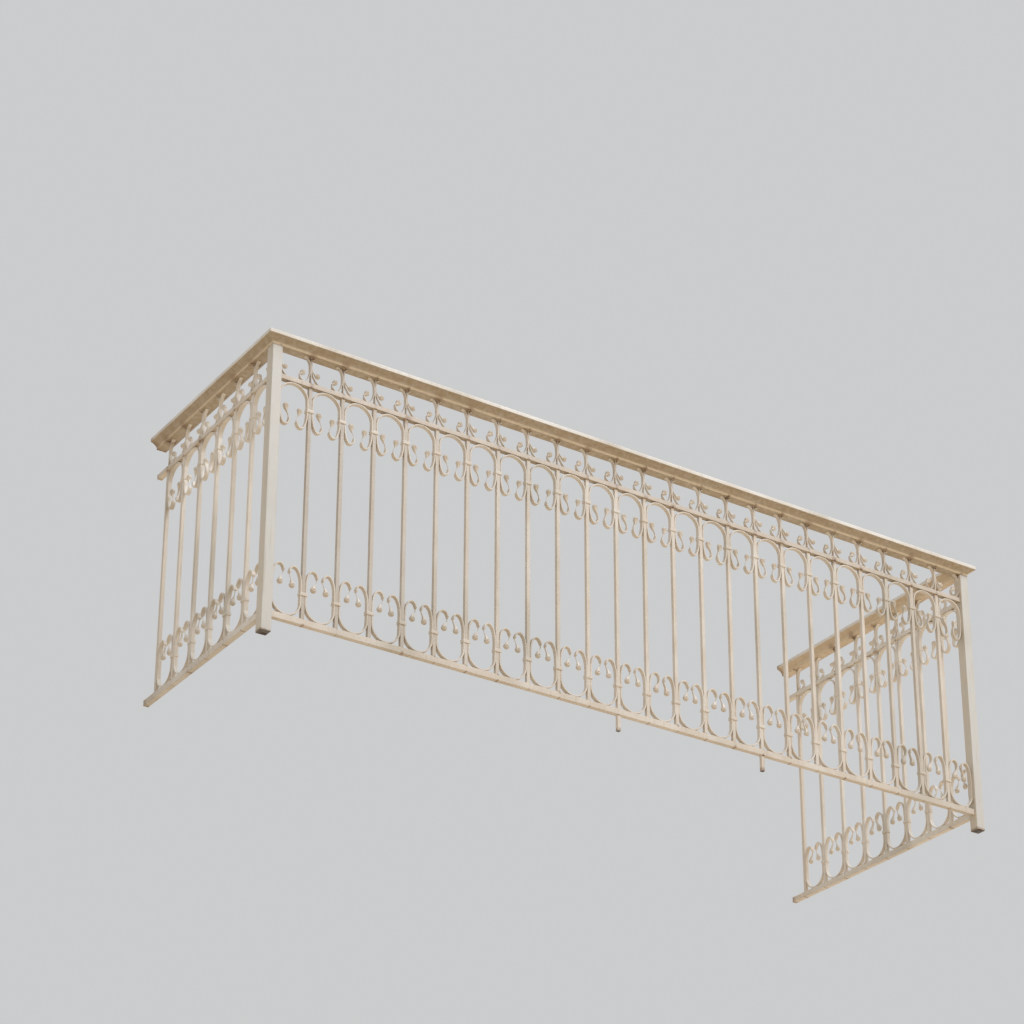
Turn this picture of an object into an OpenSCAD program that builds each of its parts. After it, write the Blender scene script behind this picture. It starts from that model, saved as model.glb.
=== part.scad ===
// A wrought iron balcony railing: a front between two corner posts and a return
// to the wall on each side, with scrollwork between square bars under a moulded
// handrail. The origin is the centre of the left post's foot. X runs along the
// front, Y runs back to the wall and Z is up.

/* [Plan] */
// Number of bays between the two corner posts
front_bays = 24; // [18:1:28]
// Number of whole bays on the left return
left_bays = 6; // [2:1:12]
// Number of whole bays on the right return
right_bays = 8; // [2:1:12]
// Clear space between two neighbouring bars
bay_gap = 103; // [95:1:125]
// Clear space between a return's last bar and the wall
wall_gap = 65; // [10:1:90]
// Bars of the front, counted from the left post, that go on down to the floor
leg_bars = [11, 16]; // [1:1:17]

/* [Heights] */
// Clear space under the bottom rail
floor_gap = 55; // [30:1:120]
// Height of the bottom rail
low_rail_h = 20; // [12:1:30]
// Clear height between the bottom rail and the upper rail
field_h = 796; // [600:1:1000]
// Height of the upper rail
high_rail_h = 16; // [12:1:30]
// Clear height of the frieze between the upper rail and the handrail
frieze_h = 92.5; // [80:0.5:120]

/* [Iron] */
// Side of the square bars
bar_w = 12; // [8:1:16]
// Side of the square corner posts
post_w = 35; // [25:1:60]
// Depth of the two rails, across the railing
rail_d = 18; // [17:1:30]
// Thickness of the scroll strip
strip_t = 5; // [3:0.5:6]
// Depth of the scroll strip, across the railing
strip_d = 14; // [10:1:16]
// Radius of the knob forged on each scroll end
knob_r = 9; // [6:0.5:10]
// How far the knob stands out past the strip on each face
knob_swell = 1.5; // [0.5:0.5:3]
// Radius of the knob's flat middle
knob_flat_r = 3.5; // [1:0.5:5]

/* [Handrail] */
// Width of the moulded handrail
cap_w = 80; // [60:1:110]
// Height of the moulded handrail at its middle
cap_h = 35.5; // [32:0.5:50]
// Height of its upright face along each edge
face_h = 17; // [12:0.5:20]
// Radius of the round over that face
face_top_r = 6; // [3:0.5:7]
// Radius of the round under that face
face_low_r = 3; // [2:0.5:4]
// Rise of the handrail's crown over its edges
crown_h = 2; // [0.5:0.5:4]
// How far the shallow cove under the face dips inside a straight slope
cove_dip = 2.5; // [1:0.5:4]
// Height of the fillet under the cove
fillet_h = 2; // [1:0.5:6]
// Width of the flat bar that carries the handrail
core_w = 34; // [28:1:56]
// Thickness of the flat bar that carries the handrail
core_h = 5; // [4:1:12]

/* [Upper scrolls] */
// Height of a scroll that hangs from the upper rail
high_scroll_h = 154; // [145:1:190]
// How far its straight side reaches from the rail
high_side_end = 91; // [80:1:100]
// Its turn's distance from the middle of the bay
high_turn_u = 29; // [26:0.5:31]
// Its inner leg's distance from the middle of the bay
high_leg_u = 13.5; // [10:0.5:15]
// How far from the rail the inner leg starts to turn outward
high_leg_end = 104; // [100:1:108]
// Distance of the collar's middle from the rail
high_collar_v = 84; // [62:1:84]

/* [Lower scrolls] */
// Height of a scroll that stands on the bottom rail
low_scroll_h = 170; // [160:1:200]
// How far its straight side reaches from the rail
low_side_end = 115; // [95:1:120]
// Its turn's distance from the middle of the bay
low_turn_u = 25; // [22:0.5:30]
// Its inner leg's distance from the middle of the bay
low_leg_u = 9.5; // [9:0.5:12]
// How far from the rail the inner leg starts to turn outward
low_leg_end = 123; // [118:1:130]
// Distance of the collar's middle from the rail
low_collar_v = 83; // [62:1:85]

/* [Frieze scrolls] */
// Distance from the middle of the bay at which a scroll meets the handrail
frieze_top_u = 34; // [30:0.5:38]
// Height of its upper turn
frieze_top_h = 21; // [15:1:25]
// Height at which its lower turn leaves the bar
frieze_side_low = 42; // [36:1:48]
// Its lower turn's distance from the middle of the bay
frieze_turn_u = 33; // [31:0.5:35]
// Its inner leg's distance from the middle of the bay
frieze_leg_u = 19; // [17:0.5:21]
// Height at which the inner leg starts to turn outward
frieze_leg_end = 26; // [24:1:30]

/* [Turns] */
// Height of the inner turn beside its top, as a share of the inner width
inner_turn_share = 1.3; // [1:0.1:1.6]
// Width of the last small turn before a knob
tail_u = 11; // [9:0.5:12]
// Height of the last small turn before a knob
tail_v = 15; // [12:0.5:16]
// How far a flat on a scroll's curve may cut inside the true curve
scroll_sag = 0.35; // [0.3:0.05:1]
// How far a flat on the handrail's curves may cut inside the true curve
cap_sag = 0.05; // [0.02:0.01:0.2]

/* [Collars] */
// Height of a collar round a bar and its two scrolls
collar_h = 12; // [8:1:14]
// Thickness of a collar
collar_t = 2; // [1.5:0.5:4]
// Chamfer on a collar's corners
collar_chamfer = 1; // [0.5:0.5:1.5]

/* [Hidden] */

// Each level is the top of what is below it.
low_rail_z = floor_gap;
low_rail_top = low_rail_z + low_rail_h;
high_rail_z = low_rail_top + field_h;
high_rail_top = high_rail_z + high_rail_h;
core_z = high_rail_top + frieze_h;
cap_z = core_z + core_h;

front_bars_n = front_bays - 1;
front_l = bar_place(front_bays) - bar_w / 2 + post_w / 2;
left_l = bar_place(left_bays) + bar_w / 2 + wall_gap;
right_l = bar_place(right_bays) + bar_w / 2 + wall_gap;

// The strip's middle line runs this far from the middle of the bay at a bar.
side_u = bay_gap / 2 - strip_t / 2;
half_t = strip_t / 2;
half_post = post_w / 2;
// Cutting solids reach this far past what they cut.
past = 1;
paint = "#d9cdb8";

// Distance of bar number k from the centre of its post
function bar_place(k) = post_w / 2 + k * bay_gap + (k - 0.5) * bar_w;
// Distance of the middle of bay number k, from 0, from the centre of its post
function bay_place(k) = bar_place(k + 1) - bar_w / 2 - bay_gap / 2;

// Points on an arc of an ellipse, without its last point. Its flats cut inside the
// true curve by no more than about sag.
function turn(centre, radii, from, to, sag = scroll_sag) =
    let (r = (radii.x + radii.y) / 2,
         n = ceil(abs(to - from) / (2 * acos(1 - sag / r))))
    [for (i = [0 : n - 1])
        let (a = from + (to - from) * i / n)
        centre + [radii.x * cos(a), radii.y * sin(a)]];

function reversed(points) = [for (i = [len(points) - 1 : -1 : 0]) points[i]];
function mirrored(points) = [for (p = reversed(points)) [-p.x, p.y]];
function unit(v) = v / norm(v);

// Direction across a line of points at its point i
function across(points, i) =
    let (d = unit(points[min(i + 1, len(points) - 1)] - points[max(i - 1, 0)]))
    [-d.y, d.x];
function side_of(points, offset_by) =
    [for (i = [0 : len(points) - 1]) points[i] + across(points, i) * offset_by];

// From the last turn of a scroll to its knob: the inner turn, the inner leg and
// the small turn outward. up is 1 where the hook turns over at its top.
function hook_line(turn_u, leg_u, top, leg_end, up) =
    let (inner = [turn_u - leg_u, inner_turn_share * (turn_u - leg_u)],
         inner_v = top - up * inner.y)
    concat(
        turn([turn_u, inner_v], inner, 90 * up, 180 * up),
        turn([leg_u + tail_u, leg_end], [tail_u, tail_v], 180 * up, 265 * up),
        [knob_place(leg_u, leg_end, up)]);
function knob_place(leg_u, leg_end, up) = [leg_u + tail_u, leg_end - up * tail_v];

// Half of a C scroll, from the rail at v = 0 to its knob
function c_half(h, side_end, turn_u, leg_u, leg_end) =
    concat(
        turn([0, side_u + half_t], [side_u, side_u], -90, 0),
        [[side_u, side_u + half_t]],
        turn([turn_u, side_end], [side_u - turn_u, h - half_t - side_end], 0, 90),
        hook_line(turn_u, leg_u, h - half_t, leg_end, 1));
function c_line(half) = concat(mirrored(half), [for (i = [1 : len(half) - 1]) half[i]]);

high_half = c_half(high_scroll_h, high_side_end, high_turn_u, high_leg_u, high_leg_end);
low_half = c_half(low_scroll_h, low_side_end, low_turn_u, low_leg_u, low_leg_end);

// A frieze scroll, from the handrail down its bar to the knob
frieze_top_v = frieze_h - half_t;
frieze_line = concat(
    turn([frieze_top_u, frieze_top_v - frieze_top_h],
         [side_u - frieze_top_u, frieze_top_h], 90, 0),
    [[side_u, frieze_top_v - frieze_top_h]],
    turn([frieze_turn_u, frieze_side_low],
         [side_u - frieze_turn_u, frieze_side_low - half_t], 0, -90),
    hook_line(frieze_turn_u, frieze_leg_u, half_t, frieze_leg_end, -1));

// Points of the handrail's outline on one side, from its middle top outward
cap_edge = cap_w / 2;
face_top = cap_h - crown_h;
face_low = face_top - face_h;
cove_out = [cap_edge - face_low_r, face_low];
cove_in = [core_w / 2, fillet_h];
cove_pull = (cove_out + cove_in) / 2
    + 2 * cove_dip * unit([cove_in.y - cove_out.y, cove_out.x - cove_in.x]);
cove_steps = ceil(sqrt(norm(cove_out - 2 * cove_pull + cove_in) / (4 * cap_sag)));
cap_side = concat(
    [[0, cap_h], [cap_edge / 2, cap_h - crown_h / 4]],
    turn([cap_edge - face_top_r, face_top - face_top_r], [face_top_r, face_top_r],
         90, 0, cap_sag),
    [[cap_edge, face_top - face_top_r]],
    turn([cap_edge - face_low_r, face_low + face_low_r], [face_low_r, face_low_r],
         0, -90, cap_sag),
    [for (i = [0 : cove_steps])
        let (t = i / cove_steps)
        (1 - t) * (1 - t) * cove_out + 2 * t * (1 - t) * cove_pull + t * t * cove_in],
    [[core_w / 2, 0]]);
cap_outline = concat(cap_side, mirrored(cap_side));

// A side runs along local X from its post. Its children are drawn in that frame.
module left_side() rotate([0, 0, 90]) children();
module right_side() translate([front_l, 0, 0]) rotate([0, 0, 90]) children();

// What is cut to a mitre over the two posts
module mitred_front() {
    difference() {
        children();
        for (end = [0, 1])
            translate([end * front_l, 0, 0]) mirror([end, 0, 0]) mitre_cut();
    }
}
module mitred_return(turned) {
    difference() {
        children();
        mirror([0, turned, 0]) mitre_cut();
    }
}
// Everything beyond the plane at 45 degrees through the post's centre
module mitre_cut() {
    reach = cap_w * 2;
    linear_extrude(height = cap_z + 2 * cap_h)
        polygon([[-reach, -reach], [reach, reach], [-reach, reach]]);
}

// A square bar standing on local Z = from, with its middle at place
module upright(place, w, from, to) {
    translate([place - w / 2, -w / 2, from]) cube([w, w, to - from]);
}

module bars(first, last) {
    for (k = [first : last]) upright(bar_place(k), bar_w, low_rail_z, core_z);
}

// A rail between from and to, with a square hole for each bar
module rail(from, to, z, h, bars_n) {
    difference() {
        translate([from, -rail_d / 2, z]) cube([to - from, rail_d, h]);
        for (k = [1 : bars_n]) upright(bar_place(k), bar_w, z - past, z + h + past);
    }
}

module core_bar(from, to) {
    translate([from, -core_w / 2, core_z]) cube([to - from, core_w, core_h]);
}

module cap(from, to) {
    translate([from, 0, cap_z]) rotate([90, 0, 90])
        linear_extrude(height = to - from) polygon(cap_outline);
}

// A flat strip bent along line, standing in the local XZ plane
module strip(line) {
    rotate([90, 0, 0])
        linear_extrude(height = strip_d, center = true)
            polygon(concat(side_of(line, half_t), reversed(side_of(line, -half_t))));
}

// The knob is round, with a swollen face on each side.
module knob(place) {
    half_d = strip_d / 2;
    translate([place.x, 0, place.y]) rotate([90, 0, 0]) rotate_extrude($fn = 24)
        polygon([[0, -half_d - knob_swell], [knob_flat_r, -half_d - knob_swell],
                 [knob_r, -half_d + knob_swell], [knob_r, half_d - knob_swell],
                 [knob_flat_r, half_d + knob_swell], [0, half_d + knob_swell]]);
}

module c_scroll(half, leg_u, leg_end) {
    strip(c_line(half));
    for (side = [0, 1]) mirror([side, 0, 0]) knob(knob_place(leg_u, leg_end, 1));
}

module upper_scrolls(bays) {
    for (k = [0 : bays - 1]) translate([bay_place(k), 0, high_rail_z])
        mirror([0, 0, 1]) c_scroll(high_half, high_leg_u, high_leg_end);
}

module lower_scrolls(bays) {
    for (k = [0 : bays - 1]) translate([bay_place(k), 0, low_rail_top])
        c_scroll(low_half, low_leg_u, low_leg_end);
}

module frieze_scroll() {
    strip(frieze_line);
    knob(knob_place(frieze_leg_u, frieze_leg_end, -1));
}

module frieze_scrolls(bays) {
    for (k = [0 : bays - 1], side = [0, 1])
        translate([bay_place(k), 0, high_rail_top]) mirror([side, 0, 0])
            frieze_scroll();
}

// A band round a bar and the two strips beside it, as deep inside as the deeper one
module collar(x, z) {
    inner = [bar_w + 2 * strip_t, max(strip_d, bar_w)];
    outer = inner + 2 * [collar_t, collar_t];
    c = collar_chamfer;
    translate([x, 0, z - collar_h / 2]) difference() {
        linear_extrude(height = collar_h) chamfered_rectangle(outer, c);
        translate([-inner.x / 2, -inner.y / 2, -past])
            cube([inner.x, inner.y, collar_h + 2 * past]);
    }
}

module chamfered_rectangle(size, c) {
    h = size / 2;
    polygon([[h.x - c, h.y], [h.x, h.y - c], [h.x, c - h.y], [h.x - c, -h.y],
             [c - h.x, -h.y], [-h.x, c - h.y], [-h.x, h.y - c], [c - h.x, h.y]]);
}

// A return's last bar has a scroll on one side only, so it has no collar.
module collars(bars_n, z) {
    for (k = [1 : bars_n]) collar(bar_place(k), z);
}

high_collar_z = high_rail_z - high_collar_v;
low_collar_z = low_rail_top + low_collar_v;

module left_post() color(paint) upright(0, post_w, 0, core_z);
module right_post() color(paint) upright(front_l, post_w, 0, core_z);

module front_handrail() color(paint) mitred_front() cap(-cap_w, front_l + cap_w);
module left_handrail() color(paint) left_side() mitred_return(1) cap(-cap_w, left_l);
module right_handrail() color(paint) right_side() mitred_return(0) cap(-cap_w, right_l);

module front_core_bar() color(paint) mitred_front() core_bar(-core_w, front_l + core_w);
module left_core_bar() color(paint) left_side() mitred_return(1) core_bar(-core_w, left_l);
module right_core_bar() color(paint) right_side() mitred_return(0) core_bar(-core_w, right_l);

module front_upper_rail() color(paint)
    rail(half_post, front_l - half_post, high_rail_z, high_rail_h, front_bars_n);
module left_upper_rail() color(paint)
    left_side() rail(half_post, left_l, high_rail_z, high_rail_h, left_bays);
module right_upper_rail() color(paint)
    right_side() rail(half_post, right_l, high_rail_z, high_rail_h, right_bays);

module front_bottom_rail() color(paint)
    rail(half_post, front_l - half_post, low_rail_z, low_rail_h, front_bars_n);
module left_bottom_rail() color(paint)
    left_side() rail(half_post, left_l, low_rail_z, low_rail_h, left_bays);
module right_bottom_rail() color(paint)
    right_side() rail(half_post, right_l, low_rail_z, low_rail_h, right_bays);

module front_bars() color(paint) bars(1, front_bars_n);
module left_bars() color(paint) left_side() bars(1, left_bays);
module right_bars() color(paint) right_side() bars(1, right_bays);

module left_leg() color(paint) upright(bar_place(leg_bars[0]), bar_w, 0, floor_gap);
module right_leg() color(paint) upright(bar_place(leg_bars[1]), bar_w, 0, floor_gap);

module front_upper_scrolls() color(paint) upper_scrolls(front_bays);
module left_upper_scrolls() color(paint) left_side() upper_scrolls(left_bays);
module right_upper_scrolls() color(paint) right_side() upper_scrolls(right_bays);

module front_lower_scrolls() color(paint) lower_scrolls(front_bays);
module left_lower_scrolls() color(paint) left_side() lower_scrolls(left_bays);
module right_lower_scrolls() color(paint) right_side() lower_scrolls(right_bays);

module front_frieze_scrolls() color(paint) frieze_scrolls(front_bays);
module left_frieze_scrolls() color(paint) left_side() frieze_scrolls(left_bays);
module right_frieze_scrolls() color(paint) right_side() frieze_scrolls(right_bays);

module front_upper_collars() color(paint) collars(front_bars_n, high_collar_z);
module left_upper_collars() color(paint) left_side() collars(left_bays - 1, high_collar_z);
module right_upper_collars() color(paint) right_side() collars(right_bays - 1, high_collar_z);

module front_lower_collars() color(paint) collars(front_bars_n, low_collar_z);
module left_lower_collars() color(paint) left_side() collars(left_bays - 1, low_collar_z);
module right_lower_collars() color(paint) right_side() collars(right_bays - 1, low_collar_z);

left_post();
right_post();
front_handrail();
left_handrail();
right_handrail();
front_core_bar();
left_core_bar();
right_core_bar();
front_upper_rail();
left_upper_rail();
right_upper_rail();
front_bottom_rail();
left_bottom_rail();
right_bottom_rail();
front_bars();
left_bars();
right_bars();
left_leg();
right_leg();
front_upper_scrolls();
left_upper_scrolls();
right_upper_scrolls();
front_lower_scrolls();
left_lower_scrolls();
right_lower_scrolls();
front_frieze_scrolls();
left_frieze_scrolls();
right_frieze_scrolls();
front_upper_collars();
left_upper_collars();
right_upper_collars();
front_lower_collars();
left_lower_collars();
right_lower_collars();
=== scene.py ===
import math
import random

import bmesh
import bpy
from mathutils import Matrix, Vector
from mathutils.geometry import interpolate_bezier


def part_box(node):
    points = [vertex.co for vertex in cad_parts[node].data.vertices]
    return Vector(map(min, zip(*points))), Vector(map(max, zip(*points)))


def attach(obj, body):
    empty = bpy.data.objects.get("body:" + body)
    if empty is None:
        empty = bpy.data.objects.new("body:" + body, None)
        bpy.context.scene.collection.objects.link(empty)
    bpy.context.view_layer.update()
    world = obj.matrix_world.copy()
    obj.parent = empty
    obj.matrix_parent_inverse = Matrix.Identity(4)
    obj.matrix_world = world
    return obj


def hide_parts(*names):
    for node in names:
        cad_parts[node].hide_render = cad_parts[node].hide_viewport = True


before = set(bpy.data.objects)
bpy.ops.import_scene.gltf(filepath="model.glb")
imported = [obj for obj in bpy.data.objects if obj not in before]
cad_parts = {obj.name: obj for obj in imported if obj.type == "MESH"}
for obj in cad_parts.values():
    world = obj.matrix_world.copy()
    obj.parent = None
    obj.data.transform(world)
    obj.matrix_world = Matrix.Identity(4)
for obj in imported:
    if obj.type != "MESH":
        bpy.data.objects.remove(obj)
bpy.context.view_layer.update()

mm = 0.001


# The camera comes first: low and to the left of the front, looking up at it.

def makeCamera():
    look = {
        "focalPixels": 2850.0,
        "imagePixels": 1024.0,
        "sensor": 36.0,
        "place": (-3.5016, -6.6884, -3.7003),
        "yaw": 33.198,
        "pitch": 24.126,
        "roll": 0.195,
        "shiftUp": 0.22,
        "reach": 150.0,
    }
    data = bpy.data.cameras.new("balconyCamera")
    data.sensor_width = look["sensor"]
    data.lens = look["focalPixels"] / look["imagePixels"] * look["sensor"]
    data.shift_y = look["shiftUp"]
    data.clip_end = look["reach"]
    camera = bpy.data.objects.new("balconyCamera", data)
    turn = (Matrix.Rotation(math.radians(-look["yaw"]), 4, "Z")
            @ Matrix.Rotation(math.radians(90 + look["pitch"]), 4, "X")
            @ Matrix.Rotation(math.radians(look["roll"]), 4, "Z"))
    camera.matrix_world = Matrix.Translation(look["place"]) @ turn
    bpy.context.scene.collection.objects.link(camera)
    bpy.context.scene.camera = camera


makeCamera()
print("camera ready")


# Sizes read from the frame, in metres.

def boxOf(node):
    low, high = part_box(node)
    return Vector(low), Vector(high)


railLow, railHigh = boxOf("front_upper_rail")
footLow, footHigh = boxOf("front_bottom_rail")
barsLow, barsHigh = boxOf("front_bars")

barSide = barsHigh.y - barsLow.y
frontLength = boxOf("right_post")[0].x - boxOf("left_post")[0].x
bays = {"front": 24, "left": 6, "right": 8}
barPitch = (barsHigh.x - barsLow.x - barSide) / (bays["front"] - 2)
bayGap = barPitch - barSide
firstBar = barsLow.x + barSide / 2
railTop = {"upper": railHigh.z, "bottom": footHigh.z}
railUnder = {"upper": railLow.z, "bottom": footLow.z}
railDeep = railHigh.y - railLow.y
soffitZ = boxOf("front_core_bar")[0].z  # where the bars end
capUnder = boxOf("front_handrail")[0].z


def barPlace(k):
    return firstBar + (k - 1) * barPitch


def bayPlace(k):
    return firstBar - barPitch / 2 + k * barPitch


# Local X runs along a side from its post, local Y across it.
sideTurn = {
    "front": Matrix.Identity(4),
    "left": Matrix.Rotation(math.pi / 2, 4, "Z"),
    "right": Matrix.Translation((frontLength, 0, 0)) @ Matrix.Rotation(math.pi / 2, 4, "Z"),
}
barCount = {"front": bays["front"] - 1, "left": bays["left"], "right": bays["right"]}


def sideEnds(side, node):
    low, high = boxOf(side + "_" + node)
    return (low.x, high.x) if side == "front" else (low.y, high.y)


# Finishes

# A short way to add and join shader nodes
class Nodes:
    def __init__(self, material):
        material.use_nodes = True
        self.tree = material.node_tree
        self.tree.nodes.clear()

    def add(self, kind, **values):
        node = self.tree.nodes.new(kind)
        for name, value in values.items():
            setattr(node, name, value)
        return node

    def join(self, a, b):
        self.tree.links.new(a, b)

    def put(self, socket, value):
        if isinstance(value, bpy.types.NodeSocket):
            self.join(value, socket)
        else:
            socket.default_value = value

    def math(self, operation, a, b=0.0, clamp=False):
        node = self.add("ShaderNodeMath", operation=operation, use_clamp=clamp)
        self.put(node.inputs[0], a)
        self.put(node.inputs[1], b)
        return node.outputs[0]

    def ramp(self, value, low, high, toLow=0.0, toHigh=1.0):
        node = self.add("ShaderNodeMapRange", interpolation_type="SMOOTHSTEP")
        for socket, number in zip(node.inputs, (value, low, high, toLow, toHigh)):
            self.put(socket, number)
        return node.outputs[0]

    def noise(self, vector, scale, detail=3.0, rough=0.55):
        node = self.add("ShaderNodeTexNoise")
        self.put(node.inputs["Vector"], vector)
        node.inputs["Scale"].default_value = scale
        node.inputs["Detail"].default_value = detail
        node.inputs["Roughness"].default_value = rough
        return node.outputs["Fac"]

    def stretch(self, vector, scale):
        node = self.add("ShaderNodeMapping")
        self.join(vector, node.inputs["Vector"])
        node.inputs["Scale"].default_value = scale
        return node.outputs["Vector"]

    def mix(self, share, a, b):
        node = self.add("ShaderNodeMix", data_type="RGBA")
        self.put(node.inputs["Factor"], share)
        for socket, colour in ((node.inputs[6], a), (node.inputs[7], b)):
            self.put(socket, colour if isinstance(colour, bpy.types.NodeSocket) else (*colour, 1))
        return node.outputs[2]


# The lip's golden cream, the returns' lighter creams, the posts' warm side coat and the pale golden
# underside brown are painted light; the dark underside brown is soot and painted shade.
paintColours = {
    "cream": (0.665, 0.592, 0.51),
    "bleached": (0.73, 0.68, 0.615),
    "dull": (0.47, 0.425, 0.35),
    "railCream": (0.585, 0.51, 0.435),
    "railBleached": (0.65, 0.585, 0.515),
    "white": (0.80, 0.775, 0.735),
    "lipHighlightCream": (0.745, 0.62, 0.45),
    "litCream": (0.745, 0.68, 0.60),
    "litWhite": (0.81, 0.765, 0.70),
    "postSide": (0.64, 0.58, 0.49),
    "postFront": (0.62, 0.62, 0.605),
    "sootAndShadeBrown": (0.335, 0.245, 0.142),
    "paleSootAndWarmLight": (0.56, 0.42, 0.265),
    "greyed": (0.35, 0.315, 0.275),
    "stain": (0.25, 0.145, 0.07),
    "rust": (0.13, 0.06, 0.027),
}


# How each kind of piece has aged: its two coats of paint, and the dark brown on its underside, partly
# soot and partly painted shade
agedAndShaded = {
    "Cap": {"coats": ("bleached", "white"), "under": 0.95, "sootAndShadeBrown": "sootAndShadeBrown"},
    "Rail": {"coats": ("railCream", "railBleached"), "under": 0.75, "sootAndShadeBrown": "sootAndShadeBrown"},
    "Light": {"coats": ("cream", "bleached"), "under": 0.18, "sootAndShadeBrown": "sootAndShadeBrown"},
}
# The returns take lighter coats and paler, golden undersides: painted light, for the light that falls
# on them and the warm light from the wall.
litCoats = ("litCream", "litWhite")
sidePaintedLight = {"left": {"Rail": {"coats": ("cream", "bleached"), "under": 0.5, "sootAndShadeBrown": "paleSootAndWarmLight"},
                     "Light": {"coats": litCoats}},
            "right": {"Cap": {"sootAndShadeBrown": "paleSootAndWarmLight"},
                      "Rail": {"coats": litCoats, "under": 0.5, "sootAndShadeBrown": "paleSootAndWarmLight"},
                      "Light": {"coats": litCoats, "sootAndShadeBrown": "paleSootAndWarmLight"}}}
# A post's front faces take a cool grey coat and its other faces a warm cream: painted warm light from
# the wall on its sides. The front's bars go greyer towards the left post.
postAgedAndLit = {"coats": ("postSide", "postFront"), "under": 0.3, "sootAndShadeBrown": "sootAndShadeBrown", "paintedSideLight": 0.75}
barsAgedAndShaded = dict(agedAndShaded["Light"], greyed=0.5)
wearAndPaintedLight = {"lipHeight": -1.5 * mm, "lipReach": 6 * mm, "lipHighlightClear": 0.8, "wallSpot": 14 * mm,
        "wallReach": 0.26, "wallShade": 0.45, "greyReach": 1.25, "jointLeast": 0.8,
        "jointSpread": 1.9, "secondCoat": (0.35, 0.68), "dull": (0.46, 0.72), "dullMost": 0.6,
        "runs": (0.54, 0.78), "runsMost": 0.30, "dimpleShadeMost": 0.9, "patchRagged": 2.6,
        "mottleRagged": 2.0, "stain": (1.7, 0.3), "stainMost": 0.55, "rust": (0.12, -0.15),
        "rustMost": 0.7, "chips": (0.875, 0.91)}
# The scale of each pattern in the paint, and its gloss and relief
grain = {"patches": 9.0, "mottle": 70.0, "fine": 420.0, "chips": 130.0, "dull": (3.4, 3.4, 2.2),
         "streaks": (95.0, 95.0, 5.0), "gloss": (0.36, 0.52), "rustRough": 0.35,
         "fineHigh": 0.18, "mottleHigh": 0.9, "rustDeep": 0.5, "bump": 0.35,
         "bumpHigh": 0.8 * mm}
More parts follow.
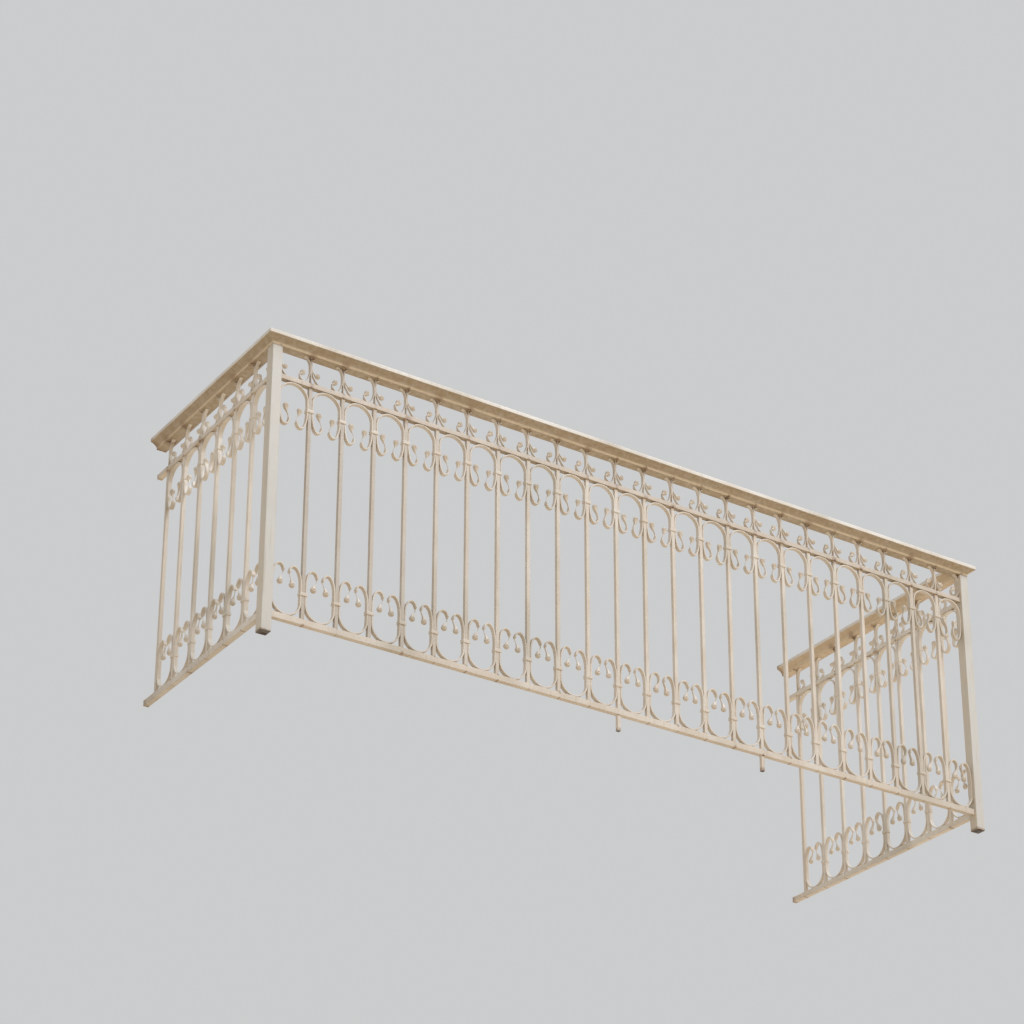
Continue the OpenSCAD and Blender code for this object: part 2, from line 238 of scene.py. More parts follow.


# Old cream gloss paint. Rust comes through at the joints: they repeat along an axis
# from start, at the given levels. Each level has its own reach and each joint its own
# luck. Distance along the axis counts sideways times. A return is darker towards the
# wall, a painted shade, and has a stained end there. The undersides are partly soot and
# partly painted shade, the dimples painted shade, and the handrail's lip a painted highlight.
def ironPaint(name, look, along, start, levels, every=barPitch, sideways=1.0, wallAt=None):
    material = bpy.data.materials.new(name)
    n = Nodes(material)
    place = n.add("ShaderNodeTexCoord").outputs["Object"]
    split = n.add("ShaderNodeSeparateXYZ")
    n.join(place, split.inputs[0])
    run = split.outputs["X" if along == "x" else "Y"]
    height = split.outputs["Z"]
    normal = n.add("ShaderNodeSeparateXYZ")
    n.join(n.add("ShaderNodeNewGeometry").outputs["Normal"], normal.inputs[0])
    dimples = n.add("ShaderNodeAttribute", attribute_name="dimpleShade").outputs["Fac"]

    patches = n.noise(place, grain["patches"], 4.0)
    mottle = n.noise(place, grain["mottle"])
    fine = n.noise(place, grain["fine"], 2.0)
    secondCoat = n.ramp(patches, *wearAndPaintedLight["secondCoat"])
    # A post's front takes the grey coat and its other faces the warm one: painted warm light on the
    # sides.
    if "paintedSideLight" in look:
        toStreet = n.ramp(normal.outputs["Y"], -0.3, -0.9)
        secondCoat = n.math("ADD", n.math("MULTIPLY", secondCoat, 1 - look["paintedSideLight"]),
                       n.math("MULTIPLY", toStreet, look["paintedSideLight"]))
    colour = n.mix(secondCoat, *(paintColours[coat] for coat in look["coats"]))

    # Some stretches have gone dull. The handrail's lower lip is painted a lighter golden cream: a
    # painted highlight of warm light.
    dull = n.ramp(n.noise(n.stretch(place, grain["dull"]), 1.0, 2.0), *wearAndPaintedLight["dull"], 0.0,
                  wearAndPaintedLight["dullMost"])
    colour = n.mix(dull, colour, paintColours["dull"])
    if "greyed" in look:
        share = n.ramp(run, wearAndPaintedLight["greyReach"], 0.0, 0.0, look["greyed"])
        colour = n.mix(share, colour, paintColours["greyed"])
    fromLip = n.math("ABSOLUTE", n.math("SUBTRACT", height, capUnder + wearAndPaintedLight["lipHeight"]))
    lip = n.math("MULTIPLY", n.ramp(fromLip, wearAndPaintedLight["lipReach"], wearAndPaintedLight["lipReach"] / 2),
                 n.ramp(normal.outputs["Z"], -0.95, -0.7))
    colour = n.mix(lip, colour, paintColours["lipHighlightCream"])

    # Dust and soot gather under each piece and run down it. The dark undersides are partly soot and
    # partly painted shade, and the knobs' dimples are painted shade. The lip is kept clear of it, for
    # its painted highlight.
    facingDown = n.ramp(normal.outputs["Z"], 0.05, -0.75)
    streaks = n.noise(n.stretch(place, grain["streaks"]), 1.0)
    sootAndShade = n.math("MULTIPLY", facingDown,
                  n.ramp(mottle, 0.2, 0.75, look["under"] * 0.75, look["under"]), True)
    sootAndShade = n.math("MULTIPLY", sootAndShade, n.ramp(lip, 0.0, 1.0, 1.0, 1 - wearAndPaintedLight["lipHighlightClear"]))
    runs = n.math("MULTIPLY", n.ramp(streaks, *wearAndPaintedLight["runs"]), wearAndPaintedLight["runsMost"])
    sootAndShade = n.math("MAXIMUM", n.math("MAXIMUM", sootAndShade, runs),
                  n.math("MULTIPLY", dimples, wearAndPaintedLight["dimpleShadeMost"]))
    # Painted shade: darker in patches towards the wall.
    if wallAt is not None:
        shade = n.ramp(run, wallAt - wearAndPaintedLight["wallReach"], wallAt, 0.0, wearAndPaintedLight["wallShade"])
        sootAndShade = n.math("MAXIMUM", sootAndShade, n.math("MULTIPLY", shade, n.ramp(patches, 0.3, 0.7, 0.5, 1.0)))
    colour = n.mix(sootAndShade, colour, paintColours[look["sootAndShadeBrown"]])

    # Distance to the nearest joint, in reaches
    turns = n.math("DIVIDE", n.math("SUBTRACT", run, start), every)
    joint = n.math("ROUND", turns)
    aside = n.math("MULTIPLY", n.math("SUBTRACT", turns, joint), every * sideways)
    distance = None
    for level, reach in levels:
        up = n.math("MULTIPLY", n.math("SUBTRACT", height, level), 1.0 / reach)
        across = n.math("MULTIPLY", aside, 1.0 / reach)
        squared = n.math("ADD", n.math("MULTIPLY", up, up), n.math("MULTIPLY", across, across))
        luck = n.add("ShaderNodeTexWhiteNoise", noise_dimensions="1D")
        n.put(luck.inputs["W"], n.math("ADD", joint, level * 61.0 + 0.37))
        off = n.math("MULTIPLY", n.math("SQRT", squared),
                     n.ramp(luck.outputs["Value"], 0.0, 1.0, wearAndPaintedLight["jointLeast"],
                            wearAndPaintedLight["jointLeast"] + wearAndPaintedLight["jointSpread"]))
        distance = off if distance is None else n.math("MINIMUM", distance, off)
    if wallAt is not None:
        toWall = n.math("MULTIPLY", n.math("SUBTRACT", wallAt, run), 1.0 / wearAndPaintedLight["wallSpot"])
        distance = n.math("MINIMUM", distance, toWall)
    ragged = distance
    for pattern, most in ((patches, wearAndPaintedLight["patchRagged"]), (mottle, wearAndPaintedLight["mottleRagged"])):
        ragged = n.math("ADD", ragged, n.math("MULTIPLY", n.math("SUBTRACT", pattern, 0.5), most))
    stain = n.ramp(ragged, *wearAndPaintedLight["stain"])
    rust = n.ramp(ragged, *wearAndPaintedLight["rust"])
    specks = n.noise(place, grain["chips"], 4.0, 0.7)
    chips = n.ramp(n.math("ADD", specks, n.math("MULTIPLY", patches, 0.25)), *wearAndPaintedLight["chips"])
    rust = n.math("MAXIMUM", rust, chips)
    colour = n.mix(n.math("MULTIPLY", stain, wearAndPaintedLight["stainMost"]), colour, paintColours["stain"])
    colour = n.mix(n.math("MULTIPLY", rust, wearAndPaintedLight["rustMost"]), colour, paintColours["rust"])

    shader = n.add("ShaderNodeBsdfPrincipled")
    n.put(shader.inputs["Base Color"], colour)
    gloss = n.ramp(mottle, 0.3, 0.7, *grain["gloss"])
    n.put(shader.inputs["Roughness"],
          n.math("ADD", gloss, n.math("MULTIPLY", rust, grain["rustRough"]), True))
    relief = n.math("ADD", n.math("MULTIPLY", fine, grain["fineHigh"]),
                    n.math("MULTIPLY", mottle, grain["mottleHigh"]))
    relief = n.math("SUBTRACT", relief, n.math("MULTIPLY", rust, grain["rustDeep"]))
    bump = n.add("ShaderNodeBump")
    bump.inputs["Strength"].default_value = grain["bump"]
    bump.inputs["Distance"].default_value = grain["bumpHigh"]
    n.put(bump.inputs["Height"], relief)
    n.put(shader.inputs["Normal"], bump.outputs["Normal"])
    out = n.add("ShaderNodeOutputMaterial")
    n.put(out.inputs["Surface"], shader.outputs[0])
    return material


# The height of each joint, and how far its rust reaches
jointLevels = [(soffitZ, 0.012), (railTop["upper"], 0.006), (railUnder["upper"], 0.010),
               (railTop["bottom"], 0.0035), (railUnder["bottom"], 0.0045), (0.0, 0.010)]
postLevels = [(soffitZ, 0.0035), (0.0, 0.016)]
wallEnd = {side: boxOf(side + "_handrail")[1].y for side in ("left", "right")}
paints = {(side, kind): ironPaint(f"creamPaint{side.title()}{kind}",
                                  {**look, **sidePaintedLight.get(side, {}).get(kind, {})},
                                  "x" if side == "front" else "y", firstBar, jointLevels,
                                  wallAt=wallEnd.get(side))
          for side in sideTurn for kind, look in agedAndShaded.items()}
# A post's stains go right across it.
postPaint = ironPaint("creamPaintPost", postAgedAndLit, "x", 0.0, postLevels, every=frontLength,
                      sideways=0.04)
barPaint = {side: paints[side, "Light"] for side in sideTurn}
barPaint["front"] = ironPaint("creamPaintFrontBars", barsAgedAndShaded, "x", firstBar, jointLevels)
print("finishes ready")


# Making and placing pieces

sharpAngle = math.radians(50)


def asShape(bm, name):
    bmesh.ops.recalc_face_normals(bm, faces=bm.faces)
    mesh = bpy.data.meshes.new(name)
    bm.to_mesh(mesh)
    bm.free()
    return mesh


def addPiece(name, bm, material, slot, *nodes):
    mesh = asShape(bm, name)
    for face in mesh.polygons:
        face.use_smooth = True
    mesh.set_sharp_from_angle(angle=sharpAngle)
    mesh.materials.append(material)
    piece = bpy.data.objects.new(name, mesh)
    bpy.context.scene.collection.objects.link(piece)
    piece.modifiers.new("flatFaces", "WEIGHTED_NORMAL").keep_sharp = True
    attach(piece, "root")
    if nodes:
        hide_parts(*nodes)
    return piece


# Adds a copy of a finished shape to bm and puts it in its place.
def addShape(bm, shape, place):
    before = len(bm.verts)
    bm.from_mesh(shape)
    bmesh.ops.transform(bm, matrix=place, verts=bm.verts[:][before:])


# A bar of iron with its edges eased
def addBlock(bm, low, high, edge, segments=2):
    made = bmesh.ops.create_cube(bm, size=1.0)
    low, high = Vector(low), Vector(high)
    size, middle = high - low, (high + low) / 2
    bmesh.ops.transform(bm, matrix=Matrix.Translation(middle) @ Matrix.Diagonal((*size, 1)),
                        verts=made["verts"])
    edges = {e for v in made["verts"] for e in v.link_edges}
    bmesh.ops.bevel(bm, geom=list(edges), offset=edge, segments=segments, affect="EDGES",
                    profile=0.5, material=-1)


def ellipseArc(centre, radii, first, last, steps):
    for i in range(steps):
        angle = math.radians(first + (last - first) * i / steps)
        yield Vector((centre[0] + radii[0] * math.cos(angle), 0,
                      centre[1] + radii[1] * math.sin(angle)))


# The same line with points only where it has turned or run far enough. They lie
# closer near its ends, where the strip is drawn out.
def easedLine(points, look, drawnLength):
    fine = []
    for a, b in zip(points, points[1:]):
        cuts = max(1, math.ceil((b - a).length / look["fineStep"]))
        fine += [a.lerp(b, i / cuts) for i in range(cuts)]
    fine.append(points[-1])
    total = sum((b - a).length for a, b in zip(fine, fine[1:]))
    kept, run, sinceKept, heading = [fine[0]], 0.0, 0.0, None
    for a, b, c in zip(fine, fine[1:], fine[2:]):
        run += (b - a).length
        sinceKept += (b - a).length
        heading = heading or (b - a)
        nearEnd = min(run, total - run) < drawnLength
        if (heading.angle(c - b) > look["turnStep"] or sinceKept > look["longStep"]
                or nearEnd and sinceKept > look["endStep"]):
            kept.append(b)
            sinceKept, heading = 0.0, None
    return kept + [fine[-1]], total


# Draws a flat strip out along a line in the XZ plane, ring by ring. It is hammered
# thinner and narrower towards an end that carries a knob, then swells into it.
def forgeStrip(bm, line, total, look, drawnLength, thins):
    runs = [0.0]
    for a, b in zip(line, line[1:]):
        runs.append(runs[-1] + (b - a).length)

    def sizeAt(run):
        near, thin = total - run, thins[-1]
        if len(thins) == 2 and run < near:
            near, thin = run, thins[0]
        drawnOut = min(1.0, max(0.0, (drawnLength - near) / look["drawnRamp"]))
        drawnOut = drawnOut * drawnOut * (3 - 2 * drawnOut)
        bud = max(0, 1 - near / look["budLength"]) ** look["budCurve"]
        bud *= min(1.0, near / look["budHidden"])
        thick = 1 - (1 - thin) * drawnOut + look["budThick"] * bud
        narrow = look["narrowFirst"] + look["narrowShare"] * thin
        deep = 1 - (1 - narrow) * drawnOut + (look["budDeep"] - narrow) * bud
        return look["thick"] * thick, look["deep"] * deep

    def ringAt(i):
        a, b = line[max(i - 1, 0)], line[min(i + 1, len(line) - 1)]
        along = (b - a).normalized()
        side = Vector((-along.z, 0, along.x))
        thick, deep = sizeAt(runs[i])
        return Matrix((
            (side.x * thick, 0, along.x, line[i].x),
            (0, deep, 0, 0),
            (side.z * thick, 0, along.z, line[i].z),
            (0, 0, 0, 1)))

    corners = [bm.verts.new((x, y, 0)) for x, y in ((-.5, -.5), (.5, -.5), (.5, .5), (-.5, .5))]
    bm.faces.new(corners)
    section = Matrix.Diagonal((look["thick"], look["deep"], 1, 1))
    bmesh.ops.transform(bm, matrix=section, verts=corners)
    bmesh.ops.bevel(bm, geom=corners, offset=look["edge"], segments=2, affect="VERTICES",
                    profile=0.5, material=-1)
    face = bm.faces[:][-1]
    bmesh.ops.transform(bm, matrix=ringAt(0) @ section.inverted(), verts=face.verts[:])
    for i in range(1, len(line)):
        grown = bmesh.ops.extrude_face_region(bm, geom=[face])
        face = next(g for g in grown["geom"] if isinstance(g, bmesh.types.BMFace))
        bmesh.ops.transform(bm, matrix=ringAt(i) @ ringAt(i - 1).inverted(), verts=face.verts[:])


knob = {"radius": 9.7 * mm, "deep": 16.6 * mm, "dimple": 2.6 * mm, "around": 14, "rings": 8,
        "cSizes": (0.96, 1.05), "hookSizes": (0.9, 1.0), "budSizes": (0.86, 0.96)}


# A flattened ball with a punched dimple on each face. The dimple's centre is marked for painted
# shade.
def forgeKnob(bm, centre, size):
    made = bmesh.ops.create_uvsphere(bm, u_segments=knob["around"], v_segments=knob["rings"],
                                     radius=1.0)
    turn = Matrix.Rotation(math.pi / 2, 4, "X")
    radius = knob["radius"] * size
    flat = Matrix.Diagonal((radius, knob["deep"] / 2, radius, 1))
    bmesh.ops.transform(bm, matrix=Matrix.Translation(centre) @ flat @ turn, verts=made["verts"])
    dimpleShade = bm.verts.layers.float["dimpleShade"]
    for sign in (-1, 1):
        pole = max(made["verts"], key=lambda vert: sign * vert.co.y)
        pole[dimpleShade] = 1.0
        bmesh.ops.translate(bm, vec=(0, -sign * knob["dimple"], 0), verts=[pole])


# The bars, rails and posts

# Above the upper rail a bar is drawn down to a neck between two frieze scrolls.
neck = {"wide": 3.6 * mm, "deep": 10 * mm}


def buildBars():
    look = {"edge": 0.7 * mm, "wander": 0.25 * mm, "tenon": 12 * mm, "shoulder": 2 * mm,
            "seed": 3}
    rand = random.Random(look["seed"])
    for side, turn in sideTurn.items():
        bm = bmesh.new()
        for k in range(1, barCount[side] + 1):
            x = barPlace(k) + rand.uniform(-1, 1) * look["wander"]
            half = barSide / 2
            shoulder = railTop["upper"] - look["shoulder"]
            addBlock(bm, (x - half, -half, railTop["bottom"] - look["tenon"]),
                     (x + half, half, shoulder), look["edge"])
            addBlock(bm, (x - neck["wide"] / 2, -neck["deep"] / 2, shoulder - look["shoulder"]),
                     (x + neck["wide"] / 2, neck["deep"] / 2, soffitZ), look["edge"])
        bmesh.ops.transform(bm, matrix=turn, verts=bm.verts)
        addPiece(side + "_bars_iron", bm, barPaint[side], "iron_paint", side + "_bars")


def buildRails():
    look = {"edge": 1.0 * mm}
    for side, turn in sideTurn.items():
        for level, kind in (("upper", "Rail"), ("bottom", "Light")):
            start, end = sideEnds(side, level + "_rail")
            bm = bmesh.new()
            addBlock(bm, (start, -railDeep / 2, railUnder[level]),
                     (end, railDeep / 2, railTop[level]), look["edge"])
            bmesh.ops.transform(bm, matrix=turn, verts=bm.verts)
            addPiece(f"{side}_{level}_rail_iron", bm, paints[side, kind], "iron_paint",
                     f"{side}_{level}_rail")


def buildPosts():
    look = {"edge": 2.2 * mm, "legEdge": 0.7 * mm}
    for side in ("left", "right"):
        low, high = boxOf(side + "_post")
        bm = bmesh.new()
        addBlock(bm, low, high, look["edge"], 3)
        addPiece(side + "_post_tube", bm, postPaint, "iron_paint", side + "_post")
        low, high = boxOf(side + "_leg")
        bm = bmesh.new()
        addBlock(bm, low, high, look["legEdge"])
        addPiece(side + "_leg_stub", bm, paints["front", "Light"], "iron_paint", side + "_leg")


buildBars()
buildRails()
buildPosts()
print("bars, rails and posts built")


# The scrollwork

strip = {"thick": 5.0 * mm, "deep": 14.0 * mm, "edge": 1.1 * mm, "tailWide": 11 * mm,
         "tailHigh": 15 * mm, "innerTurn": 1.3, "fineStep": 1.0 * mm, "longStep": 22 * mm,
         "endStep": 3.5 * mm, "turnStep": math.radians(8), "drawnRamp": 6 * mm,
         "narrowFirst": 0.02, "narrowShare": 0.98, "budLength": 23 * mm, "budThick": 3.1,
         "budDeep": 1.05, "budHidden": 4 * mm, "budCurve": 1.1}
# The frieze has a lighter strip, and its braces are lighter still.
friezeStrip = dict(strip, thick=2.2 * mm, deep=12.5 * mm, edge=0.6 * mm, budLength=15 * mm,
                   budThick=7.0, budDeep=1.0, tailWide=12 * mm)
friezeFoot = dict(friezeStrip, deep=8.5 * mm, budThick=0.0)
friezeArm = dict(friezeStrip, deep=8 * mm, budDeep=1.5)
# Where each row's strip is drawn out, and how thin: most legs are little more than wire
drawn = {"upper": 45 * mm, "lower": 42 * mm, "frieze": 30 * mm, "arm": 26 * mm,
         "thin": (0.16, 0.19, 0.23, 0.34, 0.6, 0.9), "friezeThin": (0.6, 0.7, 0.8, 0.9, 1.0, 1.0)}
# How many points draw each stretch of a line before it is eased
drawnWith = {"side": 30, "turn": 16, "leg": 14, "sweep": 12, "flare": 18}
sideU = bayGap / 2 - strip["thick"] / 2


def hookLine(look, top, up):
    wide = look["turnU"] - look["legU"]
    high = strip["innerTurn"] * wide
    points = list(ellipseArc((look["turnU"], top - up * high), (wide, high), 90 * up, 180 * up,
                             drawnWith["turn"]))
    legTop = Vector((look["legU"], 0, top - up * high))
    budPlace = Vector((look["legU"] + look["tailWide"], 0, look["legEnd"] - up * look["tailHigh"]))
    pull = (legTop - budPlace) * 0.5
    pull.x = 0
    return points + interpolate_bezier(legTop, legTop - pull, budPlace + pull, budPlace,
                                       drawnWith["leg"])


def cHalf(look):
    half = strip["thick"] / 2
    points = list(ellipseArc((0, sideU + half), (sideU, sideU), -90, 0, drawnWith["side"]))
    points += [Vector((sideU, 0, sideU + half))]
    points += ellipseArc((look["turnU"], look["sideEnd"]),
                         (sideU - look["turnU"], look["high"] - half - look["sideEnd"]), 0, 90,
                         drawnWith["side"])
    return points + hookLine(look, look["high"] - half, 1)


# Each shape comes off the anvil a little different.
def varied(look, rand, amount, iron=strip):
    hook = dict(look, tailWide=iron["tailWide"], tailHigh=iron["tailHigh"])
    for name, most in amount.items():
        hook[name] += rand.uniform(-most, most)
    return hook


def startShape():
    bm = bmesh.new()
    # The knobs mark their dimples here for painted shade.
    bm.verts.layers.float.new("dimpleShade")
    return bm


# Some hooks keep a stout leg and some have little more than a wire.
def stoutness(thins, which, rand):
    return thins[min(len(thins) - 1, max(0, which + rand.choice((-1, 0, 1))))]


def cShape(left, right, rand, row, which):
    bm = startShape()
    first = [Vector((-p.x, 0, p.z)) for p in reversed(cHalf(left)[1:])]
    line, total = easedLine(first + cHalf(right), strip, drawn[row])
    thins = [stoutness(drawn["thin"], which, rand) for _ in range(2)]
    forgeStrip(bm, line, total, strip, drawn[row], thins)
    for end in (line[0], line[-1]):
        forgeKnob(bm, end, rand.uniform(*knob["cSizes"]))
    return asShape(bm, "cShape")


# From under the handrail to the bar, down it, and out again to the rail
def friezeLine(look):
    half = friezeStrip["thick"] / 2
    side, high = barPitch / 2 - neck["wide"] / 2 - half, railToSoffit - half
    points = list(ellipseArc((look["topU"], high - look["topHigh"]),
                             (side - look["topU"], look["topHigh"]), 90, 0,
                             drawnWith["sweep"]))
    points += [Vector((side, 0, high - look["topHigh"]))]
    leave, foot = Vector((side, 0, look["sideLow"])), Vector((look["turnU"], 0, half))
    down = Vector((0, 0, look["flare"] * (half - look["sideLow"])))
    out = Vector((look["flare"] * (side - look["turnU"]), 0, 0))
    return points + interpolate_bezier(leave, leave + down, foot + out, foot,
                                       drawnWith["flare"])[:-1]


def friezeHook(look, rand, which):
    bm = startShape()
    points = friezeLine(look) + hookLine(look, friezeStrip["thick"] / 2, -1)
    line, total = easedLine(points, friezeStrip, drawn["frieze"])
    forgeStrip(bm, line, total, friezeStrip, drawn["frieze"],
               [stoutness(drawn["friezeThin"], which, rand)])
    forgeKnob(bm, line[-1], rand.uniform(*knob["hookSizes"]))
    return asShape(bm, "friezeHook")


# This one ends on the rail. Its bud hangs on an arm from half way up the bar.
def friezeBrace(look, rand, which):
    bm = startShape()
    foot = Vector((look["turnU"], 0, friezeStrip["thick"] / 2))
    points = friezeLine(look) + [foot, foot - Vector((look["footLength"], 0, 0))]
    line, total = easedLine(points, friezeStrip, 0.0)
    forgeStrip(bm, line, total, friezeFoot, drawn["frieze"], [1.0])
    arm = Vector((barPitch / 2 - neck["wide"] / 2 - friezeStrip["thick"] * look["armInset"], 0,
                  look["armHigh"]))
    bud = Vector((look["budU"], 0, look["budHigh"]))
    points = interpolate_bezier(arm, arm - Vector((0, 0, look["armDrop"])),
                                bud + Vector((look["armDrop"], 0, look["armDrop"] * look["armEnd"])),
                                bud, drawnWith["leg"])
    line, total = easedLine(points, friezeStrip, drawn["arm"])
    forgeStrip(bm, line, total, friezeArm, drawn["arm"],
               [stoutness(drawn["friezeThin"], which, rand)])
    forgeKnob(bm, bud, rand.uniform(*knob["budSizes"]))
    return asShape(bm, "friezeBrace")


railToSoffit = soffitZ - railTop["upper"]
upperLook = {"high": 154 * mm, "sideEnd": 91 * mm, "turnU": 29 * mm, "legU": 13.5 * mm,
             "legEnd": 104 * mm}
lowerLook = {"high": 170 * mm, "sideEnd": 115 * mm, "turnU": 25 * mm, "legU": 9.5 * mm,
             "legEnd": 123 * mm}
hookLook = {"topU": 32 * mm, "topHigh": 36 * mm, "sideLow": 44 * mm, "turnU": 34.5 * mm,
            "flare": 0.36, "legU": 17 * mm, "legEnd": 21 * mm}
braceLook = {"topU": 44 * mm, "topHigh": 16 * mm, "sideLow": 48 * mm, "turnU": 24 * mm,
             "flare": 0.33, "footLength": 4 * mm, "armHigh": 51 * mm, "armDrop": 8 * mm,
             "armInset": 1.4, "armEnd": 0.4, "budU": 31 * mm, "budHigh": 33 * mm}
handMade = {"turnU": 1.2 * mm, "legU": 1.2 * mm, "legEnd": 3 * mm, "tailWide": 1.0 * mm,
            "tailHigh": 1.5 * mm}
hookMade = {"topU": 1.5 * mm, "turnU": 1.2 * mm, "legU": 1.2 * mm, "legEnd": 2.5 * mm,
            "tailWide": 1.2 * mm}
braceMade = {"turnU": 1.5 * mm, "sideLow": 2 * mm, "budU": 2 * mm, "budHigh": 2.5 * mm}
shapesEach = 6


# A leg's stoutness goes by its place along the front and by luck, and each scroll is
# turned by up to lean degrees.
def buildScrolls():
    look = {"seed": 11, "byPlace": 0.6, "byLuck": 0.4, "lean": 0.6}
    rand = random.Random(look["seed"])
    identity, mirror = Matrix.Identity(4), Matrix.Diagonal((-1, 1, 1, 1))
    hang = Matrix.Diagonal((1, 1, -1, 1))

    def cShapes(row, form):
        return [cShape(varied(form, rand, handMade), varied(form, rand, handMade), rand, row, which)
                for which in range(shapesEach)]

    hooks = [friezeHook(varied(hookLook, rand, hookMade, friezeStrip), rand, which)
             for which in range(shapesEach)]
    braces = [friezeBrace(varied(braceLook, rand, braceMade, friezeStrip), rand, which)
              for which in range(shapesEach)]
    rows = (("upper", railUnder["upper"], [(cShapes("upper", upperLook), hang)]),
            ("lower", railTop["bottom"], [(cShapes("lower", lowerLook), identity)]),
            ("frieze", railTop["upper"], [(hooks, identity), (braces, mirror)]))
    for side, turn in sideTurn.items():
        for row, level, kinds in rows:
            bm = startShape()
            for k in range(bays[side]):
                for shapes, way in kinds:
                    along = k / bays[side] if side == "front" else rand.random()
                    stout = look["byPlace"] * along + look["byLuck"] * rand.random()
                    lean = math.radians(rand.uniform(-look["lean"], look["lean"]))
                    spot = Matrix.Translation((bayPlace(k), 0, level))
                    addShape(bm, shapes[int(shapesEach * stout)],
                             turn @ spot @ Matrix.Rotation(lean, 4, "Z") @ way)
            addPiece(f"{side}_{row}_scrolls_forged", bm, paints[side, "Light"], "iron_paint",
                     f"{side}_{row}_scrolls")


def buildCollars():
    look = {"edge": 1.8 * mm}
    for side, turn in sideTurn.items():
        for row in ("upper", "lower"):
            node = f"{side}_{row}_collars"
            low, high = boxOf(node)
            if side == "front":
                first, across, count = low.x, high.y - low.y, barCount[side]
            else:  # no scroll lies beyond a return's last bar, so it has no collar
                first, across, count = low.y, high.x - low.x, barCount[side] - 1
            wide = 2 * (barPlace(1) - first)
            bm = bmesh.new()
            for k in range(1, count + 1):
                x = barPlace(k)
                addBlock(bm, (x - wide / 2, -across / 2, low.z), (x + wide / 2, across / 2, high.z),
                         look["edge"], 3)
            bmesh.ops.transform(bm, matrix=turn, verts=bm.verts)
            addPiece(node + "_bands", bm, paints[side, "Light"], "iron_paint", node)


# A low ring of weld round a bar, where it meets a rail or the handrail's core bar. It
# follows the bar's square with the corners cut.
def weldShape(look, up, wide, deep):
    bm = bmesh.new()
    foot, inside = look["foot"], -look["inside"]
    rows = ((foot, 0.0), (foot * look["waist"], foot * look["waistUp"]), (inside, foot),
            (inside, -look["sunk"]))
    made = bmesh.ops.create_circle(bm, cap_ends=False, segments=look["around"], radius=1.0)
    loops = [made["verts"]]
    edges = bm.edges[:]
    for _ in rows[1:]:
        grown = bmesh.ops.extrude_edge_only(bm, edges=edges)["geom"]
        loops.append([g for g in grown if isinstance(g, bmesh.types.BMVert)])
        edges = [g for g in grown if isinstance(g, bmesh.types.BMEdge)]
    for (reach, level), loop in zip(rows, loops):
        for vert in loop:
            square = max(abs(vert.co.x), abs(vert.co.y))
            swell = 1.0 + look["square"] * (1.0 / square - 1.0)
            vert.co = Vector((vert.co.x * (wide / 2 + reach) * swell,
                              vert.co.y * (deep / 2 + reach) * swell, up * level))
    bmesh.ops.bridge_loops(bm, edges=edges + [e for e in bm.edges if e.is_boundary
                                              and e not in edges])
    return asShape(bm, "weld")


def buildWelds():
    look = {"foot": 2.6 * mm, "waist": 0.45, "waistUp": 0.55, "inside": 0.3 * mm,
            "sunk": 0.2 * mm, "around": 12, "square": 0.8, "sizes": (0.97, 1.05), "seed": 5}
    rand = random.Random(look["seed"])
    levels = ((soffitZ, -1, neck["wide"], neck["deep"]), (railUnder["upper"], -1, barSide, barSide),
              (railTop["bottom"], 1, barSide, barSide))
    for side, turn in sideTurn.items():
        bm = bmesh.new()
        for level, up, across, deep in levels:
            shape = weldShape(look, up, across, deep)
            for k in range(1, barCount[side] + 1):
                spin = Matrix.Rotation(math.radians(rand.choice((0, 180))), 4, "Z")
                size = Matrix.Diagonal((rand.uniform(*look["sizes"]),
                                        rand.uniform(*look["sizes"]), 1, 1))
                spot = Matrix.Translation((barPlace(k), 0, level))
                addShape(bm, shape, turn @ spot @ spin @ size)
        addPiece(side + "_weld_beads", bm, paints[side, "Rail"], "iron_paint")


buildScrolls()
buildCollars()
buildWelds()
print("scrollwork built")


# The handrail

def paintCap():
    for side in sideTurn:
        for part in ("handrail", "core_bar"):
            node = bpy.data.objects[side + "_" + part]
            for slot in node.material_slots:
                slot.material = paints[side, "Cap"]


paintCap()


# Stage and light

def buildStage():
    look = {"size": 45.0, "shown": (0.66, 0.66, 0.65), "bounced": (0.86, 0.74, 0.58)}
    bm = bmesh.new()
    bmesh.ops.create_grid(bm, x_segments=1, y_segments=1, size=look["size"])
    # The feet stand in openings of their own size, so that they are lit from below.
    feet = [boxOf(name) for name in ("left_post", "right_post", "left_leg", "right_leg")]
    for low, high in feet:
        for place, across in ((low.x, (1, 0, 0)), (high.x, (1, 0, 0)),
                              (low.y, (0, 1, 0)), (high.y, (0, 1, 0))):
            bmesh.ops.bisect_plane(bm, geom=bm.verts[:] + bm.edges[:] + bm.faces[:],
                                   plane_co=Vector(across) * place, plane_no=across, dist=1e-6)
    under = [face for face in bm.faces
             if any(low.x < face.calc_center_median().x < high.x
                    and low.y < face.calc_center_median().y < high.y for low, high in feet)]
    bmesh.ops.delete(bm, geom=under, context="FACES")
    mesh = bpy.data.meshes.new("studioFloor")
    bm.to_mesh(mesh)
    bm.free()
    floor = bpy.data.objects.new("studioFloor", mesh)
    bpy.context.scene.collection.objects.link(floor)
    material = bpy.data.materials.new("palePlaster")
    n = Nodes(material)
    seen = n.add("ShaderNodeLightPath").outputs["Is Camera Ray"]
    diffuse = n.add("ShaderNodeBsdfDiffuse")
    n.put(diffuse.inputs["Color"], n.mix(seen, look["bounced"], look["shown"]))
    clear = n.add("ShaderNodeBsdfTransparent")
    pick = n.add("ShaderNodeMixShader")
    # The camera stands lower than the balcony, so the floor shows from above only.
    n.put(pick.inputs[0], n.add("ShaderNodeNewGeometry").outputs["Backfacing"])
    n.put(pick.inputs[1], diffuse.outputs[0])
    n.put(pick.inputs[2], clear.outputs[0])
    n.put(n.add("ShaderNodeOutputMaterial").inputs["Surface"], pick.outputs[0])
    mesh.materials.append(material)


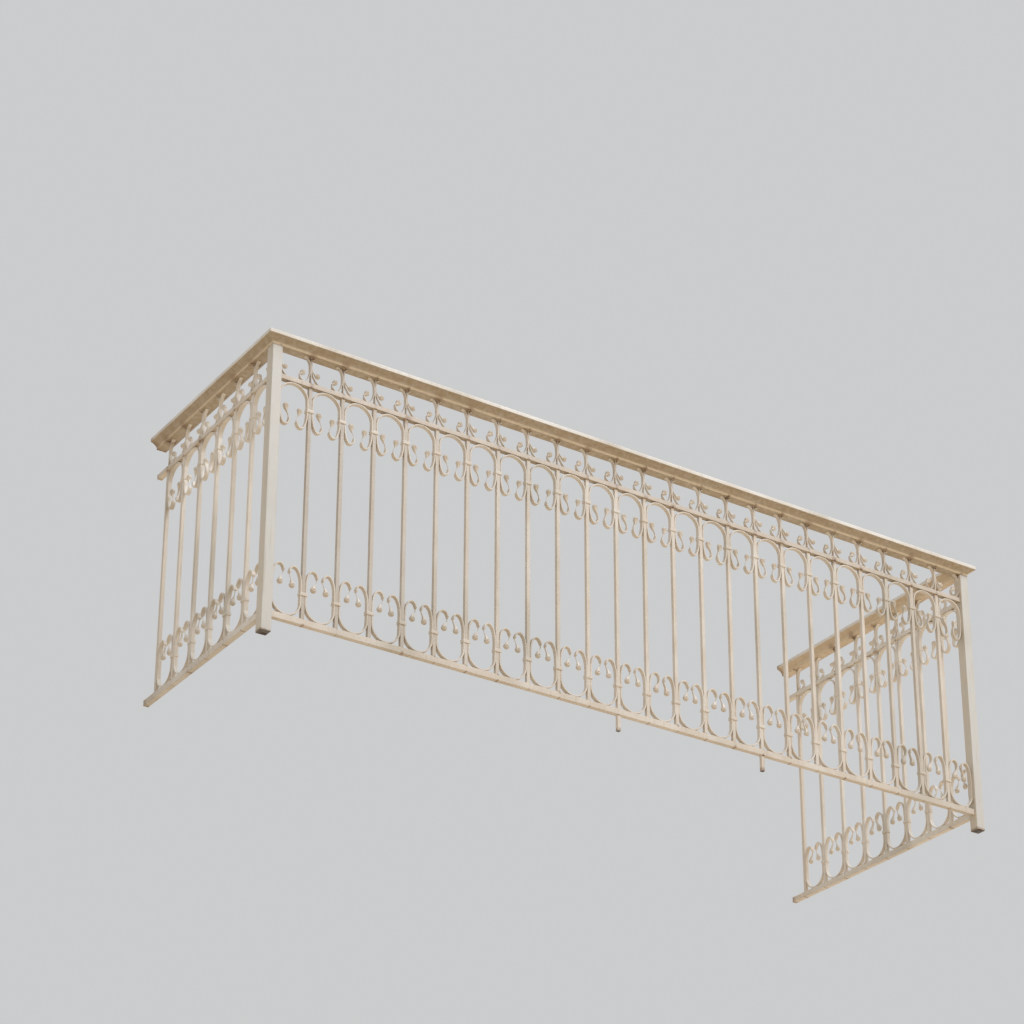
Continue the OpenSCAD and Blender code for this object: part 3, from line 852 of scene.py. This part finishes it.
def buildLight():
    look = {"background": (0.60, 0.605, 0.61), "zenith": 0.85, "horizon": 0.30, "nadir": 0.20,
            "keyPlace": (5.3, -7.7, 10.7), "keyTarget": (1.4, 0.2, 0.5), "keySize": 6.6,
            "keyPower": 1020.0, "keyTint": (0.97, 0.985, 1.02), "skyLow": (1.0, 0.91, 0.79),
            "skyHigh": (0.94, 0.98, 1.04), "skyTop": 0.8}
    world = bpy.data.worlds.new("studioWorld")
    bpy.context.scene.world = world
    n = Nodes(world)
    seen = n.add("ShaderNodeLightPath")
    shown = n.math("MAXIMUM", seen.outputs["Is Camera Ray"],
                   n.math("MAXIMUM", seen.outputs["Is Glossy Ray"],
                          seen.outputs["Is Transmission Ray"]))
    back = n.add("ShaderNodeBackground")
    back.inputs["Color"].default_value = (*look["background"], 1)
    back.inputs["Strength"].default_value = 1.0
    aim = n.add("ShaderNodeSeparateXYZ")
    n.join(n.add("ShaderNodeTexCoord").outputs["Generated"], aim.inputs[0])
    upper = n.ramp(aim.outputs["Z"], 0.0, 1.0, look["horizon"], look["zenith"])
    lower = n.ramp(aim.outputs["Z"], 0.0, -1.0, 0.0, look["horizon"] - look["nadir"])
    fill = n.add("ShaderNodeBackground")
    n.put(fill.inputs["Color"], n.mix(n.ramp(aim.outputs["Z"], 0.0, look["skyTop"]),
                                      look["skyLow"], look["skyHigh"]))
    n.put(fill.inputs["Strength"], n.math("SUBTRACT", upper, lower))
    pick = n.add("ShaderNodeMixShader")
    n.put(pick.inputs[0], shown)
    n.put(pick.inputs[1], fill.outputs[0])
    n.put(pick.inputs[2], back.outputs[0])
    n.put(n.add("ShaderNodeOutputWorld").inputs["Surface"], pick.outputs[0])
    data = bpy.data.lights.new("skyPanel", "AREA")
    data.shape = "SQUARE"
    data.size = look["keySize"]
    data.energy = look["keyPower"]
    data.color = look["keyTint"]
    lamp = bpy.data.objects.new("skyPanel", data)
    place = Vector(look["keyPlace"])
    turned = (Vector(look["keyTarget"]) - place).to_track_quat("-Z", "Y").to_matrix().to_4x4()
    lamp.matrix_world = Matrix.Translation(place) @ turned
    bpy.context.scene.collection.objects.link(lamp)


buildStage()
buildLight()
bpy.context.scene.view_settings.view_transform = "Standard"
print("stage and light ready")
